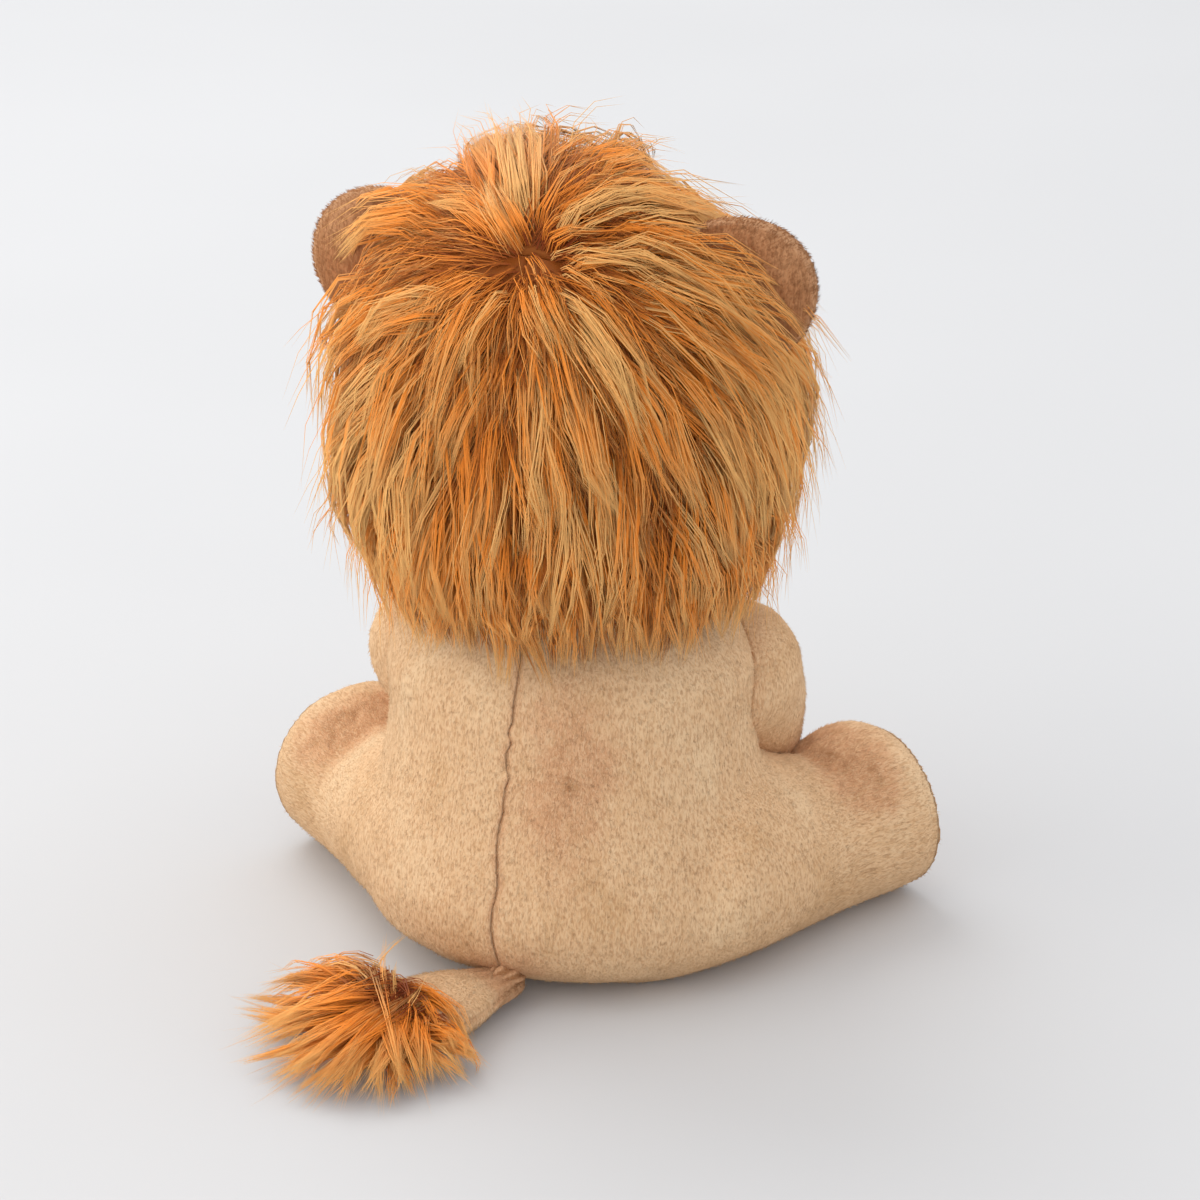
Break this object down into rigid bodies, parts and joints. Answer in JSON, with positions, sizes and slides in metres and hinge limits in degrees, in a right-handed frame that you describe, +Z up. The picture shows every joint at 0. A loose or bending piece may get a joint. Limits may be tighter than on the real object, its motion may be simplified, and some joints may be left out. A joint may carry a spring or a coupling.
{
  "type": "plush lion",
  "caption": "Seated plush lion with a long-pile mane, rounded ears, splayed stuffed legs, arms that swing at the shoulders and a tufted tail.",
  "frame": {"origin": "on the flat of the seat, under the middle of the torso", "axes": "+Z up, -Y the way the lion faces, +X to the lion's left"},
  "size_m": [0.2392, 0.2262, 0.295],
  "materials": {
    "body_plush": "short-pile golden tan plush, matt",
    "belly_plush": "short-pile pale tan plush, matt",
    "sole_plush": "short-pile darker tan plush, matt",
    "muzzle_plush": "short-pile cream plush, matt",
    "ear_plush": "short-pile brown plush, matt",
    "mane_fur": "long-pile orange-brown fur, slightly silky",
    "nose_velour": "dark brown velour, matt",
    "eye_plastic": "polished dark brown plastic",
    "washer_plastic": "moulded white plastic",
    "fibre_filling": "white polyester fibre",
    "pouch_cotton": "plain woven cotton filled with beans"
  },
  "bodies": {
    "torso": {"belly_panel": "belly_plush", "back_panel_left": "body_plush", "back_panel_right": "body_plush", "torso_filling": "fibre_filling", "seat_bean_pouch": "pouch_cotton", "leg_skin_left": "body_plush", "leg_filling_left": "fibre_filling", "foot_sole_left": "sole_plush", "leg_skin_right": "body_plush", "leg_filling_right": "fibre_filling", "foot_sole_right": "sole_plush"},
    "head": {"face_panel": "body_plush", "head_filling": "fibre_filling", "muzzle": "muzzle_plush", "chin": "muzzle_plush", "nose": "nose_velour", "mane_crown": "mane_fur", "mane_back_left": "mane_fur", "mane_ruff_left": "mane_fur", "eye_left": "eye_plastic", "eye_washer_left": "washer_plastic", "ear_back_left": "ear_plush", "ear_lining_left": "muzzle_plush", "mane_back_right": "mane_fur", "mane_ruff_right": "mane_fur", "eye_right": "eye_plastic", "eye_washer_right": "washer_plastic", "ear_back_right": "ear_plush", "ear_lining_right": "muzzle_plush"},
    "arm_left": {"arm_skin_left": "body_plush", "arm_filling_left": "fibre_filling"},
    "arm_right": {"arm_skin_right": "body_plush", "arm_filling_right": "fibre_filling"},
    "tail_root": {"tail_root": "body_plush"},
    "tail": {"tail_stem": "body_plush", "tail_tuft": "mane_fur"}
  },
  "joints": [
    {"name": "neck_turn", "type": "hinge", "parent": "torso", "child": "head", "pos_m": [0.0025, 0, 0.148], "axis": [0, 0, 1], "range_deg": [-20, 25], "stiffness_Nm_per_rad": 0.12},
    {"name": "shoulder_left", "type": "hinge", "parent": "torso", "child": "arm_left", "pos_m": [0.051, -0.02, 0.095], "axis": [-1, 0, 0], "range_deg": [0, 34], "stiffness_Nm_per_rad": 0.03},
    {"name": "shoulder_right", "type": "hinge", "parent": "torso", "child": "arm_right", "pos_m": [-0.051, -0.02, 0.095], "axis": [-1, 0, 0], "range_deg": [0, 34], "stiffness_Nm_per_rad": 0.03},
    {"name": "tail_swing", "type": "hinge", "parent": "torso", "child": "tail_root", "pos_m": [0.011, 0.058, 0.01], "axis": [0, 0, 1], "range_deg": [-4, 60]},
    {"name": "tail_lift", "type": "hinge", "parent": "tail_root", "child": "tail", "pos_m": [0.011, 0.058, 0.01], "axis": [0.7547, -0.6561, 0], "range_deg": [0, 25]}
  ]
}
